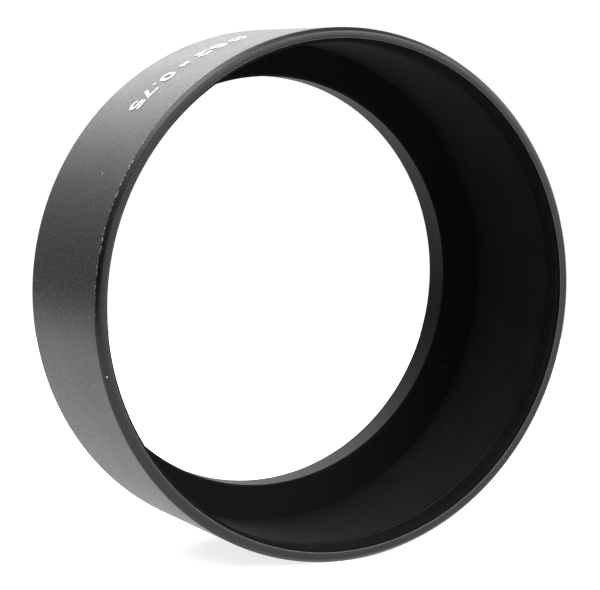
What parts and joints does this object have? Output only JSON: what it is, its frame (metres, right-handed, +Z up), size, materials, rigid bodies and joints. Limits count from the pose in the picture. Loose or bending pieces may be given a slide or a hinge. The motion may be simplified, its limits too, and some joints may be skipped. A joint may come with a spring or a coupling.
{
  "type": "lens hood",
  "caption": "Short round screw-in metal lens hood with a female filter thread inside its flat rim, a black-lined inside and a male thread on its rear ring.",
  "frame": {"origin": "centre of the flat lens seat, on the optical axis, where the male lens thread starts", "axes": "+Y along the optical axis from the open front towards the lens, +Z up through the top of the outer wall, +X to the right for an eye that looks along +Y into the front"},
  "size_m": [0.07, 0.0266, 0.07],
  "materials": {
    "shell_anodised": "satin black anodised over a fine bead blast",
    "ring_anodised": "satin black anodised, fine turned",
    "wall_matt_black": "matt black, velvety light-trap film",
    "floor_matt_black": "deep matt black light-trap film",
    "white_print": "matt white printing ink"
  },
  "bodies": {
    "root": {"hood_shell": "shell_anodised", "mount_ring": "ring_anodised", "wall_liner": "wall_matt_black", "floor_liner": "floor_matt_black", "size_marking": "white_print"}
  },
  "joints": []
}
